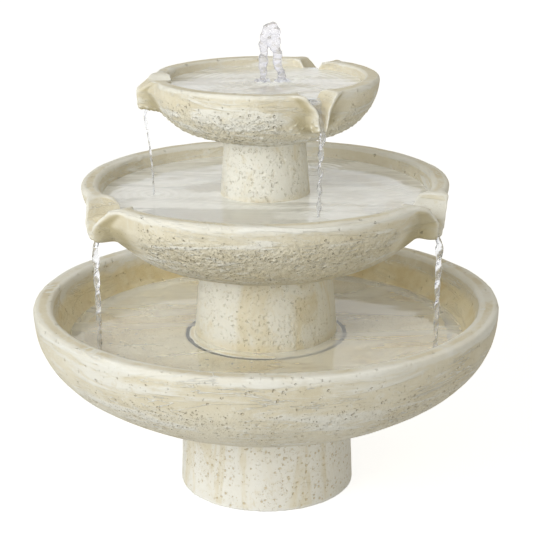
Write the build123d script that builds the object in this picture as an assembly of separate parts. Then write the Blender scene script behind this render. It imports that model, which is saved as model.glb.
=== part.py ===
from build123d import *
import math
import os

# Three-tier garden fountain in travertine-finished cast stone, with the pump
# hidden in a well under the middle pedestal.  Millimetres, +Z up, origin at the
# centre of the foot on the ground.  The viewer stands at -Y.

CUT = 1.0                  # how far a cutter runs past the face that it opens

# ---- levels of the stack -------------------------------------------------
BASE_TOP = 163.0           # foot of the lower bowl
LEDGE_Z = 312.0            # recess that the middle pedestal stands in
LOWER_FLOOR = 326.0
LOWER_WATER = 348.0
LOWER_RIM = 422.0
MIDDLE_SEAT = 500.0
MIDDLE_FLOOR = 574.0
MIDDLE_WATER = 655.0
MIDDLE_RIM = 684.0
TOP_SEAT = 774.0
TOP_FLOOR = 836.0
TOP_WATER = 888.0
TOP_RIM = 905.0
JET_TOP = 1018.0

# ---- fits between castings -----------------------------------------------
JOINT = 0.3                # dry joint between two castings
SPIGOT_DEPTH = 14.0        # a bowl's locating spigot, inside the pedestal's mouth
SPIGOT_GAP = 3.0
MIDDLE_SPIGOT_R = 78.0
TOP_SPIGOT_R = 46.0
CAP_THICK = 24.0           # closed top of a hollow pedestal
PAD_DEPTH = 3.0
PAD_CLEARANCE = 0.5        # pocket round each pad
PAD_SIZE = (34.0, 20.0)    # along the ring and across it
BASE_PAD_R = 168.0
MIDDLE_FOOT_PAD_R = 147.0
MIDDLE_PAD_R = 126.0
UPPER_FOOT_PAD_R = 86.0
TOP_PAD_R = 71.5
HEAD_PHASE = 30.0          # turn of the pads under a bowl
FOOT_PHASE = 60.0          # turn of the pads under a pedestal

# ---- castings ------------------------------------------------------------
BASE_R = (190.0, 184.5)    # outside radius at foot and top
BASE_WALL = 40.0
CORD_NOTCH = (44.0, 30.0)  # width and height, at the back of the base
LOWER_RIM_R = (458.0, 500.0)
LEDGE_R = 175.0
WELL_R = 122.0
WELL_FLOOR = 226.0
DRAIN_PLACE = (78.0, 56.0)
DRAIN_R = (17.0, 20.0)     # small and large end of the tapered drain
FLANGE_R = 167.0
FLANGE_HEIGHT = 16.0
MIDDLE_R = (157.0, 141.5)
MIDDLE_WALL = 32.0
INLET_SIZE = (23.0, 11.0)  # width and height of each inlet under the flange
INLET_REACH = (115.0, 179.0)
INLET_ANGLES = (-73.0, 17.0, 107.0, 197.0)
MIDDLE_RIM_R = (351.0, 388.0)
UPPER_R = (101.0, 85.5)
UPPER_WALL = 30.0
TOP_RIM_R = (208.0, 239.0)
HOSE_HOLE_R = 14.0
EDGE = 6.0                 # rounding of a rim's edges
FLOOR_EASE = 12.0          # from the end of an inner curve to the flat floor

# outer curve of each bowl, from just under the rim to the seat: (radius, z)
LOWER_CURVE = [(500, 414), (497, 378), (486, 340), (455, 293), (400, 248), (318, 206), (184, BASE_TOP)]
MIDDLE_CURVE = [(388, 677), (383, 655), (366, 621), (336, 588), (290, 549), (222, 516), (141, MIDDLE_SEAT)]
TOP_CURVE = [(239, 898), (236, 877), (226, 851), (207, 824), (176, 800), (130, 784), (85, TOP_SEAT)]
# inner curve of each bowl, from just under the rim to the floor
LOWER_INSIDE = [(458, 415), (447, 380), (425, 348), (380, 331), (300, LOWER_FLOOR + 1)]
MIDDLE_INSIDE = [(351, 676), (345, 655), (324, 616), (275, 586), (190, MIDDLE_FLOOR + 1)]
TOP_INSIDE = [(208, 898), (203, 886), (184, 858), (150, 843), (100, TOP_FLOOR + 1)]

# a spout's body and channel, level by level: (z, inner radius, outer radius, width)
TOP_SPOUT = [(905, 191, 254, 122), (872, 193, 257, 82), (828, 212, 256, 36)]
TOP_CHANNEL = [
    (907, 178, 284, 74), (887, 186, 280, 54), (876, 224, 276, 34), (850, 236, 272, 26), (824, 243, 268, 18),
]
TOP_SPOUT_ANGLES = (-64.0, 58.0, 184.0)
MIDDLE_SPOUT = [(684, 329, 406, 176), (645, 326, 409, 110), (600, 350, 404, 42)]
MIDDLE_CHANNEL = [(686, 314, 440, 110), (656, 322, 436, 70), (640, 372, 432, 42), (594, 388, 420, 20)]
MIDDLE_SPOUT_ANGLES = (-150.0, -29.0, 92.0)

# ---- water ---------------------------------------------------------------
TOP_STREAM = (833.0, 254.5, MIDDLE_WATER, 238.0)    # z and radius at each end
MIDDLE_STREAM = (603.0, 404.0, LOWER_WATER, 398.0)
STREAM_R = (6.0, 4.0)
JET_FEET = ((-4.0, 12.0), (37.0, 10.0))
JET_R = 8.0

# ---- stoppers ------------------------------------------------------------
STOPPER_HEIGHT = 30.0
STOPPER_R = 18.0
STOPPER_LIP = (4.0, 5.0)   # overhang and thickness
DRAIN_PLUG_LOW = BASE_TOP - SPIGOT_DEPTH + 30.0
DRAIN_GRIP = (5.0, 9.0)    # radius and height of the pull

# ---- pump, from the back (motor) to the front (flow dial) along -Y ---------
MOTOR_BACK_Y = 52.0
MOTOR_SIZE = (62.0, 66.0, 58.0)
MOTOR_EDGES = (9.0, 5.0)   # rounding along Y, and of the back
FEET_HEIGHT = 10.0
MOTOR_Z0 = WELL_FLOOR + FEET_HEIGHT
AXIS_Z = MOTOR_Z0 + 28.0
MOTOR_FRONT_Y = MOTOR_BACK_Y - MOTOR_SIZE[1]
ROTOR_R = 10.0
ROTOR_GAP = 0.8
ROTOR_LENGTH = 34.0
ROTOR_START = 2.0          # magnet's front, behind the motor's face
BORE_END_Y = MOTOR_FRONT_Y + ROTOR_LENGTH + 6.0
SHAFT_R = 1.5
SHAFT_GAP = 0.05
BUSH_R = 5.0
BUSH_DEPTH = 7.0
FRONT_BUSH_R = 4.0
CHAMBER_R = 22.0
CHAMBER_DEPTH = 16.0
CHAMBER_Y0 = MOTOR_FRONT_Y - CHAMBER_DEPTH
SEAL_THICK = 0.2
SEAL_R = (CHAMBER_R + 0.5, CHAMBER_R + 3.0)
COVER_WALL = 4.0
COVER_Y0 = CHAMBER_Y0 - COVER_WALL
FRONT_SEAT_Y = COVER_Y0 + 1.5
SHAFT_FRONT_Y = COVER_Y0 + 2.5
INTAKE_HOLES = (4, 3.4, 10.0)   # count, radius and pitch radius
IMPELLER_R = 18.0
IMPELLER_HUB_R = 4.5
IMPELLER_BLADES = 6
BLADE_THICK = 1.6
BLADE_INNER = 3.0
OUTLET_Y = (MOTOR_FRONT_Y + CHAMBER_Y0) / 2
OUTLET_TOP = AXIS_Z + 52.0
OUTLET_WALL = 2.0
NECK_R = CHAMBER_DEPTH / 2 - 0.3
SOCKET_R = (9.0, 12.5)
SOCKET_DEPTH = 12.0
GLAND_R = 7.0
GLAND_DEPTH = 12.0
GLAND_RIBS = (6.2, 5.4, 4.6)
FOOT_PLACES_X = (-22.0, 22.0)
FOOT_INSET = 12.0
FOOT_R = (9.5, 4.0)
CUP_HEIGHT = 6.0
CAGE_SIZE = (70.0, 34.0, 52.0)
CAGE_BACK_Y = COVER_Y0 + 4.0
CAGE_FRONT_Y = CAGE_BACK_Y - CAGE_SIZE[1]
CAGE_WALL = 2.5
CAGE_EDGE = 8.0
CAGE_SLOTS = 7
SLOT_SIZE = (13.0, 3.2)
SLOT_X = 25.0
DIAL_R = 15.0
DIAL_GAP = 0.3
DIAL_THICK = 2.6
PORT_R = 3.0
PORT_RING = 8.0
PIVOT_R = 2.2
PIVOT_GAP = 0.08
PIVOT_HEAD = (1.2, 1.5)    # overhang and thickness
RIB_SIZE = (12.8, 4.4, 3.0)

# ---- plumbing ------------------------------------------------------------
HOSE_R = (8.0, 10.0)
HOSE_BEND = 60.0
HOSE_POINTS = (42.0, 128.0)   # heights of its two bends over the outlet
BARB_R = 7.95
BARB_LENGTH = 20.0
ADAPTER_BORE = (6.5, 5.5)
ADAPTER_COLLAR_R = 11.5
COLLAR_HEIGHT = 6.0
CLAMP_WIDTH = 10.0
CLAMP_BAND = (0.05, 0.9)
WORM_SIZE = (3.6, 12.0)    # radius and length
WORM_OFFSET = 4.2
CLAMP_LIFT = (10.0, 6.0)   # over the outlet, and over the stem's low end
STEM_R = 10.0
STEM_BORE = 5.5
STEM_LOW = 742.0
STEM_BARB = 26.0
STEM_FLANGE = (21.0, 3.0, 7.0)   # radius, low and high over the floor
THREAD_R = 8.5
THREAD_TOP = 15.0
WASHER_R = 22.0
NUT_TOP = 800.0
NUT_HEIGHT = 12.0
NUT_R = 17.0
NUT_POCKET_R = 26.0
NOZZLE_TOP = TOP_WATER - 18.0
NOZZLE_R = (13.0, 9.0)
NOZZLE_MOUTH = 8.0
NOZZLE_BORE = 5.0


def disc(radius, z0, z1):
    return Pos(0, 0, (z0 + z1) / 2) * Cylinder(radius, z1 - z0)


def cone(r0, z0, r1, z1):
    return Pos(0, 0, (z0 + z1) / 2) * Cone(r0, r1, z1 - z0)


def tube(inner, outer, z0, z1):
    return disc(outer, z0, z1) - disc(inner, z0 - CUT, z1 + CUT)


def about_y(radius, y0, y1, z=AXIS_Z):
    """A round bar along Y, from y0 to y1, at the pump's height z."""
    return Pos(0, (y0 + y1) / 2, z) * Rot(90, 0, 0) * Cylinder(radius, y1 - y0)


def curve(points, start, end):
    return Spline(*points, tangents=(start, end), tangent_scalars=(0.6, 0.6))


def level_oval(z, inner, outer, width):
    """One level of a spout: an oval across the radius, from inner to outer."""
    return Pos((inner + outer) / 2, 0, z) * Ellipse((outer - inner) / 2, width / 2)


def bowl_body(outer, inner, rim_z, rim_r, floor_z, seat_z):
    """A bowl turned about Z: outer curve, flat rim with soft edges, inner curve."""
    inside_r, outside_r = rim_r
    floor_r = inner[-1][0] - FLOOR_EASE
    with BuildPart() as part:
        with BuildSketch(Plane.XZ):
            with BuildLine():
                Line((0, seat_z), outer[-1])
                curve(outer[::-1], (1, 0.12), (0, 1))
                RadiusArc(outer[0], (outside_r - EDGE, rim_z), outer[0][1] - rim_z)
                Line((outside_r - EDGE, rim_z), (inside_r + EDGE, rim_z))
                RadiusArc((inside_r + EDGE, rim_z), inner[0], inner[0][1] - rim_z)
                curve(inner, (-0.15, -1), (-1, -0.02))
                Line(inner[-1], (floor_r, floor_z))
                Line((floor_r, floor_z), (0, floor_z))
                Line((0, floor_z), (0, seat_z))
            make_face()
        revolve(axis=Axis.Z)
    return part.part


def with_spouts(body, spout, channel, angles):
    """Beaks pulled out of a rim: a rounded body with a narrowing channel in it."""
    beak = loft([level_oval(*level) for level in spout])
    gutter = loft([level_oval(*level) for level in channel], ruled=True)
    for angle in angles:
        body = body + Rot(0, 0, angle) * beak
    for angle in angles:
        body = body - Rot(0, 0, angle) * gutter
    return body


def pad_set(z0, radius, phase, size=PAD_SIZE):
    """Three setting pads that level one casting on the next."""
    height = PAD_DEPTH + JOINT
    pad = Pos(radius, 0, z0 + height / 2) * Box(size[1], size[0], height)
    return Compound(children=[Rot(0, 0, phase + 120 * k) * pad for k in range(3)])


def pad_pockets(body, z0, z1, radius, phase):
    along, across = (side + 2 * PAD_CLEARANCE for side in PAD_SIZE)
    pocket = Pos(radius, 0, (z0 + z1) / 2) * Box(across, along, z1 - z0)
    for k in range(3):
        body = body - Rot(0, 0, phase + 120 * k) * pocket
    return body


def drum(radii, wall, foot, top, spigot_r):
    """A hollow tapered pedestal, closed above but for the mouth of the bowl's spigot."""
    body = cone(radii[0], foot, radii[1], top)
    hollow_top = top - CAP_THICK
    body = body - cone(radii[0] - wall, foot - CUT, radii[1] - wall, hollow_top)
    return body - disc(spigot_r + SPIGOT_GAP, hollow_top - CUT, top + CUT)


# ---- castings ------------------------------------------------------------
def base_pedestal():
    top = BASE_TOP - JOINT
    body = cone(BASE_R[0], 0, BASE_R[1], top) - disc(BASE_R[1] - BASE_WALL, -CUT, top + CUT)
    width, height = CORD_NOTCH
    notch = Box(width, 2.5 * BASE_WALL, height + CUT)
    body = body - Pos(0, BASE_R[0] - BASE_WALL / 2, (height - CUT) / 2) * notch
    return pad_pockets(body, top - PAD_DEPTH, top + CUT, BASE_PAD_R, HEAD_PHASE)


def lower_bowl():
    body = bowl_body(LOWER_CURVE, LOWER_INSIDE, LOWER_RIM, LOWER_RIM_R, LOWER_FLOOR, BASE_TOP)
    spigot_low = BASE_TOP - SPIGOT_DEPTH
    body = body + disc(BASE_R[1] - BASE_WALL - SPIGOT_GAP, spigot_low, BASE_TOP + CUT)
    body = body - disc(LEDGE_R, LEDGE_Z, LOWER_FLOOR + CUT)
    body = body - disc(WELL_R, WELL_FLOOR, LEDGE_Z + CUT)
    return body - Pos(*DRAIN_PLACE, 0) * cone(DRAIN_R[0], spigot_low, DRAIN_R[1], WELL_FLOOR)


def middle_pedestal():
    foot = LEDGE_Z + JOINT
    top = MIDDLE_SEAT - JOINT
    flange = tube(MIDDLE_R[0] - MIDDLE_WALL / 2, FLANGE_R, foot, foot + FLANGE_HEIGHT)
    body = drum(MIDDLE_R, MIDDLE_WALL, foot, top, MIDDLE_SPIGOT_R) + flange
    width, height = INLET_SIZE
    inner, outer = INLET_REACH
    inlet = Box(outer - inner, width, height + 2 * CUT)
    inlet = Pos((inner + outer) / 2, 0, foot + height / 2 - CUT) * inlet
    for angle in INLET_ANGLES:
        body = body - Rot(0, 0, angle) * inlet
    body = pad_pockets(body, foot - CUT, foot + PAD_DEPTH, MIDDLE_FOOT_PAD_R, FOOT_PHASE)
    return pad_pockets(body, top - PAD_DEPTH, top + CUT, MIDDLE_PAD_R, HEAD_PHASE)


def middle_bowl():
    body = bowl_body(MIDDLE_CURVE, MIDDLE_INSIDE, MIDDLE_RIM, MIDDLE_RIM_R, MIDDLE_FLOOR, MIDDLE_SEAT)
    spigot_low = MIDDLE_SEAT - SPIGOT_DEPTH
    body = body + disc(MIDDLE_SPIGOT_R, spigot_low, MIDDLE_SEAT + CUT)
    body = with_spouts(body, MIDDLE_SPOUT, MIDDLE_CHANNEL, MIDDLE_SPOUT_ANGLES)
    plug_seat = MIDDLE_FLOOR - STOPPER_HEIGHT
    body = body - disc(HOSE_HOLE_R, spigot_low - CUT, plug_seat + CUT)
    return body - cone(HOSE_HOLE_R, plug_seat, STOPPER_R, MIDDLE_FLOOR + CUT)


def upper_pedestal():
    foot = MIDDLE_FLOOR + JOINT
    top = TOP_SEAT - JOINT
    body = drum(UPPER_R, UPPER_WALL, foot, top, TOP_SPIGOT_R)
    body = pad_pockets(body, foot - CUT, foot + PAD_DEPTH, UPPER_FOOT_PAD_R, FOOT_PHASE)
    return pad_pockets(body, top - PAD_DEPTH, top + CUT, TOP_PAD_R, HEAD_PHASE)


def top_bowl():
    body = bowl_body(TOP_CURVE, TOP_INSIDE, TOP_RIM, TOP_RIM_R, TOP_FLOOR, TOP_SEAT)
    spigot_low = TOP_SEAT - SPIGOT_DEPTH
    body = body + disc(TOP_SPIGOT_R, spigot_low, TOP_SEAT + CUT)
    body = with_spouts(body, TOP_SPOUT, TOP_CHANNEL, TOP_SPOUT_ANGLES)
    body = body - disc(STEM_R + 1, NUT_TOP - CUT, TOP_FLOOR + CUT)
    return body - disc(NUT_POCKET_R, spigot_low - CUT, NUT_TOP)


# ---- stoppers ------------------------------------------------------------
def drain_stopper():
    """Tapered rubber plug in the well's drain, with the cord's slit left closed."""
    over, thick = STOPPER_LIP
    grip_r, grip_height = DRAIN_GRIP
    low = BASE_TOP - SPIGOT_DEPTH
    share = (DRAIN_PLUG_LOW - low) / (WELL_FLOOR - low)
    low_r = DRAIN_R[0] + share * (DRAIN_R[1] - DRAIN_R[0])
    body = cone(low_r, DRAIN_PLUG_LOW, DRAIN_R[1], WELL_FLOOR)
    body = body + disc(DRAIN_R[1] + over, WELL_FLOOR, WELL_FLOOR + thick)
    body = body + disc(grip_r, WELL_FLOOR + thick, WELL_FLOOR + thick + grip_height)
    return Pos(*DRAIN_PLACE, 0) * body


def middle_bowl_stopper():
    """Rubber plug that seals the hose's hole in the middle bowl."""
    over, thick = STOPPER_LIP
    low = MIDDLE_FLOOR - STOPPER_HEIGHT
    high = MIDDLE_FLOOR + CUT
    plug = cone(HOSE_HOLE_R, low, STOPPER_R, high) + disc(STOPPER_R + over, high, high + thick)
    return plug - disc(HOSE_R[1], low - CUT, high + thick + CUT)


# ---- pump ----------------------------------------------------------------
def outlet_shift(shape):
    return Pos(0, OUTLET_Y, 0) * shape


def pump_motor_housing():
    """Resin-filled motor block, with the rotor's blind bore in its front."""
    wide, deep, high = MOTOR_SIZE
    along, back = MOTOR_EDGES
    block = Box(wide, deep, high)
    block = fillet(block.edges().filter_by(Axis.Y), along)
    block = fillet(block.faces().sort_by(Axis.Y)[-1].edges(), back)
    body = Pos(0, MOTOR_BACK_Y - deep / 2, MOTOR_Z0 + high / 2) * block
    body = body - about_y(ROTOR_R + ROTOR_GAP, MOTOR_FRONT_Y - CUT, BORE_END_Y)
    body = body - about_y(BUSH_R, BORE_END_Y - CUT, BORE_END_Y + BUSH_DEPTH)
    return body - about_y(GLAND_R, MOTOR_BACK_Y - GLAND_DEPTH, MOTOR_BACK_Y + CUT)


def pump_shaft():
    return about_y(SHAFT_R, SHAFT_FRONT_Y, BORE_END_Y + BUSH_DEPTH - CUT)


def pump_shaft_bushes():
    """Rubber bushes that hold the still shaft at its two ends."""
    rear = about_y(BUSH_R - 0.05, BORE_END_Y, BORE_END_Y + BUSH_DEPTH - 0.1)
    rear = rear - about_y(SHAFT_R, BORE_END_Y - CUT, BORE_END_Y + BUSH_DEPTH - CUT)
    front = about_y(FRONT_BUSH_R, FRONT_SEAT_Y, CHAMBER_Y0 + 0.8)
    front = front - about_y(SHAFT_R, SHAFT_FRONT_Y, CHAMBER_Y0 + 2 * CUT)
    return Compound(children=[rear, front])


def pump_rotor_magnet():
    y0 = MOTOR_FRONT_Y + ROTOR_START
    y1 = y0 + ROTOR_LENGTH
    return about_y(ROTOR_R, y0, y1) - about_y(SHAFT_R + SHAFT_GAP, y0 - CUT, y1 + CUT)


def pump_impeller():
    """Open impeller with straight blades, moulded on the magnet's front."""
    back = MOTOR_FRONT_Y + ROTOR_START
    hub = about_y(IMPELLER_HUB_R, CHAMBER_Y0 + 1.5, back)
    body = about_y(IMPELLER_R / 2, back - 4, back) + hub
    blade_y0 = CHAMBER_Y0 + 2
    blade_y1 = MOTOR_FRONT_Y - 1
    blade = Box(IMPELLER_R - BLADE_INNER, blade_y1 - blade_y0, BLADE_THICK)
    blade = Pos((IMPELLER_R + BLADE_INNER) / 2, 0, 0) * blade
    for k in range(IMPELLER_BLADES):
        turned = Rot(0, 360.0 * k / IMPELLER_BLADES, 0) * blade
        body = body + Pos(0, (blade_y0 + blade_y1) / 2, AXIS_Z) * turned
    return body - about_y(SHAFT_R + SHAFT_GAP, CHAMBER_Y0 - CUT, back + CUT)


def pump_volute_cover():
    """Impeller chamber with the outlet standing up from it."""
    body = about_y(CHAMBER_R + COVER_WALL, COVER_Y0, MOTOR_FRONT_Y - SEAL_THICK)
    socket_z0 = OUTLET_TOP - SOCKET_DEPTH
    body = body + outlet_shift(disc(NECK_R, AXIS_Z, socket_z0 - CUT))
    body = body + outlet_shift(disc(SOCKET_R[1], socket_z0 - OUTLET_WALL, OUTLET_TOP))
    body = body - about_y(CHAMBER_R, CHAMBER_Y0, MOTOR_FRONT_Y)
    body = body - outlet_shift(disc(NECK_R - OUTLET_WALL, AXIS_Z, OUTLET_TOP + CUT))
    body = body - outlet_shift(disc(SOCKET_R[0], socket_z0, OUTLET_TOP + CUT))
    body = body - about_y(FRONT_BUSH_R, FRONT_SEAT_Y, CHAMBER_Y0 + CUT)
    count, radius, ring = INTAKE_HOLES
    for k in range(count):
        angle = math.radians(360.0 * (k + 0.5) / count)
        hole = about_y(radius, COVER_Y0 - CUT, CHAMBER_Y0 + CUT, AXIS_Z + ring * math.sin(angle))
        body = body - Pos(ring * math.cos(angle), 0, 0) * hole
    return body


def pump_chamber_seal():
    """Flat ring between the chamber and the motor block."""
    ring = about_y(SEAL_R[1], MOTOR_FRONT_Y - SEAL_THICK, MOTOR_FRONT_Y)
    return ring - about_y(SEAL_R[0], MOTOR_FRONT_Y - CUT, MOTOR_FRONT_Y + CUT)


def ported(body, y0, y1):
    """Three water ports about the dial's pivot, with a land between each two."""
    for k in range(3):
        turn = math.radians(60 + 120 * k)
        port = about_y(PORT_R, y0, y1, AXIS_Z + PORT_RING * math.sin(turn))
        body = body - Pos(PORT_RING * math.cos(turn), 0, 0) * port
    return body


def pump_intake_cage():
    """Slotted cover over the chamber: it keeps leaves and grit out."""
    wide, deep, high = CAGE_SIZE
    outer = Box(wide, deep, high)
    outer = fillet(outer.edges().filter_by(Axis.Y), CAGE_EDGE)
    inner = Pos(0, CAGE_WALL, 0) * Box(wide - 2 * CAGE_WALL, deep, high - 2 * CAGE_WALL)
    body = Pos(0, CAGE_BACK_Y - deep / 2, AXIS_Z) * (outer - inner)
    body = body - about_y(CHAMBER_R + COVER_WALL + 0.4, COVER_Y0 - CUT, CAGE_BACK_Y + CUT)
    slot = Box(SLOT_SIZE[0], 3 * CAGE_WALL, SLOT_SIZE[1])
    span = high - 12
    for k in range(CAGE_SLOTS):
        z = AXIS_Z - span / 2 + span * k / (CAGE_SLOTS - 1)
        for x in (-SLOT_X, SLOT_X):
            body = body - Pos(x, CAGE_FRONT_Y, z) * slot
    inner_face = CAGE_FRONT_Y + CAGE_WALL
    body = ported(body, CAGE_FRONT_Y - CUT, inner_face + CUT)
    return body - about_y(PIVOT_R + PIVOT_GAP, CAGE_FRONT_Y - CUT, inner_face + 2 * CUT)


def pump_flow_dial():
    """Disc on the cage that turns 60 degrees to shut the ports, with a finger rib."""
    face = CAGE_FRONT_Y - DIAL_GAP
    head_y = CAGE_FRONT_Y + CAGE_WALL + DIAL_GAP
    over, thick = PIVOT_HEAD
    body = ported(about_y(DIAL_R, face - DIAL_THICK, face), face - 2 * DIAL_THICK, face + CUT)
    body = body + about_y(PIVOT_R, face - CUT, head_y + DIAL_GAP)
    body = body + about_y(PIVOT_R + over, head_y, head_y + thick)
    rib_y = face - DIAL_THICK - RIB_SIZE[1] / 2 + 0.2
    return body + Pos(PORT_RING / 2, rib_y, AXIS_Z) * Box(*RIB_SIZE)


def pump_suction_feet():
    """Four rubber suction cups, pushed into the underside of the motor block."""
    foot = cone(FOOT_R[0], WELL_FLOOR, FOOT_R[1], WELL_FLOOR + CUP_HEIGHT)
    foot = foot + disc(FOOT_R[1], WELL_FLOOR + CUP_HEIGHT, MOTOR_Z0)
    feet = []
    for x in FOOT_PLACES_X:
        for y in (MOTOR_BACK_Y - FOOT_INSET, MOTOR_FRONT_Y + FOOT_INSET):
            feet.append(Pos(x, y, 0) * foot)
    return Compound(children=feet)


def pump_cord_gland():
    """Moulded strain relief on the back of the motor block."""
    body = about_y(GLAND_R - 0.05, MOTOR_BACK_Y - GLAND_DEPTH, MOTOR_BACK_Y + 4)
    for k, rib_r in enumerate(GLAND_RIBS):
        y = MOTOR_BACK_Y + 6 + 5 * k
        body = body + about_y(rib_r, y - 1.6, y + 1.6)
    body = body + about_y(4.2, MOTOR_BACK_Y, MOTOR_BACK_Y + 20)
    return body - about_y(2.8, MOTOR_BACK_Y + 8, MOTOR_BACK_Y + 20 + CUT)


# ---- plumbing ------------------------------------------------------------
def pump_outlet_adapter():
    """Barbed adapter: pushed in the outlet below, and inside the hose above."""
    low_bore, high_bore = ADAPTER_BORE
    collar_top = OUTLET_TOP + COLLAR_HEIGHT
    body = tube(low_bore, SOCKET_R[0], OUTLET_TOP - SOCKET_DEPTH, collar_top)
    body = body + tube(low_bore, ADAPTER_COLLAR_R, OUTLET_TOP + 0.5, collar_top)
    body = body + tube(high_bore, BARB_R, collar_top, collar_top + BARB_LENGTH)
    return outlet_shift(body - disc(high_bore, collar_top - CUT, collar_top + CUT))


def supply_hose():
    """Vinyl hose from the pump's adapter, up the middle of every tier."""
    low = (0, OUTLET_Y, OUTLET_TOP + COLLAR_HEIGHT + 0.2)
    first = (0, OUTLET_Y, OUTLET_TOP + HOSE_POINTS[0])
    second = (0, 0, OUTLET_TOP + HOSE_POINTS[1])
    high = (0, 0, STEM_LOW + 24)
    path = FilletPolyline(low, first, second, high, radius=HOSE_BEND)
    section = Plane(low, z_dir=(0, 0, 1))
    bore_r, outer_r = HOSE_R
    return sweep(section * Circle(outer_r), path=path) - sweep(section * Circle(bore_r), path=path)


def hose_clamps():
    """Two worm-drive bands, one at each end of the hose."""
    band_r = HOSE_R[1] + CLAMP_BAND[0]
    band = tube(band_r, HOSE_R[1] + CLAMP_BAND[1], 0, CLAMP_WIDTH)
    worm = Rot(0, 90, 0) * Cylinder(*WORM_SIZE)
    worm = Pos(0, HOSE_R[1] + WORM_OFFSET, CLAMP_WIDTH / 2) * worm
    clamp = band + worm - disc(band_r, -CUT, CLAMP_WIDTH + CUT)
    low = Pos(0, OUTLET_Y, OUTLET_TOP + CLAMP_LIFT[0]) * clamp
    high = Pos(0, 0, STEM_LOW + CLAMP_LIFT[1]) * clamp
    return Compound(children=[low, high])


def nozzle_stem():
    """Brass stem through the top bowl: barb below, thread, and a flange above."""
    radius, flange_low, flange_high = STEM_FLANGE
    body = disc(BARB_R, STEM_LOW, STEM_LOW + STEM_BARB)
    body = body + disc(STEM_R, STEM_LOW + STEM_BARB, TOP_FLOOR + flange_low + CUT)
    body = body + disc(radius, TOP_FLOOR + flange_low, TOP_FLOOR + flange_high)
    body = body + disc(THREAD_R, TOP_FLOOR + flange_high, TOP_FLOOR + THREAD_TOP)
    return body - disc(STEM_BORE, STEM_LOW - CUT, TOP_FLOOR + THREAD_TOP + CUT)


def nozzle_washer():
    return tube(STEM_R, WASHER_R, TOP_FLOOR, TOP_FLOOR + STEM_FLANGE[1])


def nozzle_locknut():
    low = NUT_TOP - NUT_HEIGHT
    hexagon = extrude(RegularPolygon(radius=NUT_R, side_count=6), NUT_HEIGHT)
    return Pos(0, 0, low) * hexagon - disc(STEM_R, low - CUT, NUT_TOP + CUT)


def nozzle_tip():
    low = TOP_FLOOR + STEM_FLANGE[2]
    mouth = NOZZLE_TOP - NOZZLE_MOUTH
    body = cone(NOZZLE_R[0], low, NOZZLE_R[1], mouth) + disc(NOZZLE_R[1], mouth - CUT, NOZZLE_TOP)
    body = body - disc(THREAD_R, low - CUT, TOP_FLOOR + THREAD_TOP)
    return body - disc(NOZZLE_BORE, low, NOZZLE_TOP + CUT)


# ---- water ---------------------------------------------------------------
def polar(radius, angle, z):
    turn = math.radians(angle)
    return radius * math.cos(turn), radius * math.sin(turn), z


def stream(spill, angle):
    """A thread of water from a spout's tip down to the bowl below."""
    z0, r0, z1, r1 = spill
    high = Pos(*polar(r0, angle, z0)) * Circle(STREAM_R[0])
    low = Pos(*polar(r1, angle, z1)) * Circle(STREAM_R[1])
    return loft([high, low])


def water_jet():
    """The pump's jet: it rises from the nozzle, bends over and falls back."""
    (x0, y0), (x1, y1) = JET_FEET
    across = Plane(origin=(x0, y0, TOP_WATER), x_dir=(x1 - x0, y1 - y0, 0), z_dir=(y1 - y0, x0 - x1, 0))
    span = math.hypot(x1 - x0, y1 - y0)
    bend = span / 2
    rise = JET_TOP - JET_R - TOP_WATER - bend
    with BuildLine(across) as route:
        Line((0, 0), (0, rise))
        ThreePointArc((0, rise), (bend, rise + bend), (span, rise))
        Line((span, rise), (span, 0))
    start = Plane(origin=(x0, y0, TOP_WATER), z_dir=(0, 0, 1))
    return sweep(start * Circle(JET_R), path=route.line)


def pads():
    """The five rings of setting pads, from the ground up."""
    under = PAD_DEPTH + JOINT
    return {
        "base_setting_pads": pad_set(BASE_TOP - under, BASE_PAD_R, HEAD_PHASE),
        "middle_foot_pads": pad_set(LEDGE_Z, MIDDLE_FOOT_PAD_R, FOOT_PHASE),
        "middle_setting_pads": pad_set(MIDDLE_SEAT - under, MIDDLE_PAD_R, HEAD_PHASE, (28, 18)),
        "upper_foot_pads": pad_set(MIDDLE_FLOOR, UPPER_FOOT_PAD_R, FOOT_PHASE, (28, 16)),
        "top_setting_pads": pad_set(TOP_SEAT - under, TOP_PAD_R, HEAD_PHASE, (22, 14)),
    }


def streams():
    made = {}
    for side, angle in zip(("front_right", "back_right", "left"), TOP_SPOUT_ANGLES):
        made["top_stream_" + side] = stream(TOP_STREAM, angle)
    for side, angle in zip(("left", "right", "back"), MIDDLE_SPOUT_ANGLES):
        made["middle_stream_" + side] = stream(MIDDLE_STREAM, angle)
    return made


def main():
    os.makedirs("parts", exist_ok=True)
    makers = (
        base_pedestal, lower_bowl, middle_pedestal, middle_bowl, upper_pedestal, top_bowl,
        drain_stopper, middle_bowl_stopper,
        nozzle_stem, nozzle_washer, nozzle_locknut, nozzle_tip,
        supply_hose, hose_clamps, pump_outlet_adapter,
        pump_motor_housing, pump_chamber_seal, pump_volute_cover,
        pump_shaft, pump_shaft_bushes, pump_rotor_magnet, pump_impeller,
        pump_intake_cage, pump_flow_dial, pump_suction_feet, pump_cord_gland,
        water_jet,
    )
    nodes = {maker.__name__: maker() for maker in makers}
    nodes.update(pads())
    nodes.update(streams())
    for name, shape in nodes.items():
        export_step(shape, "parts/" + name + ".step")
        print(name, round(shape.volume / 1000, 1), "cm3")


main()
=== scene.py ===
import math
import bmesh
import bpy
from mathutils import Matrix, Vector, noise


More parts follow.
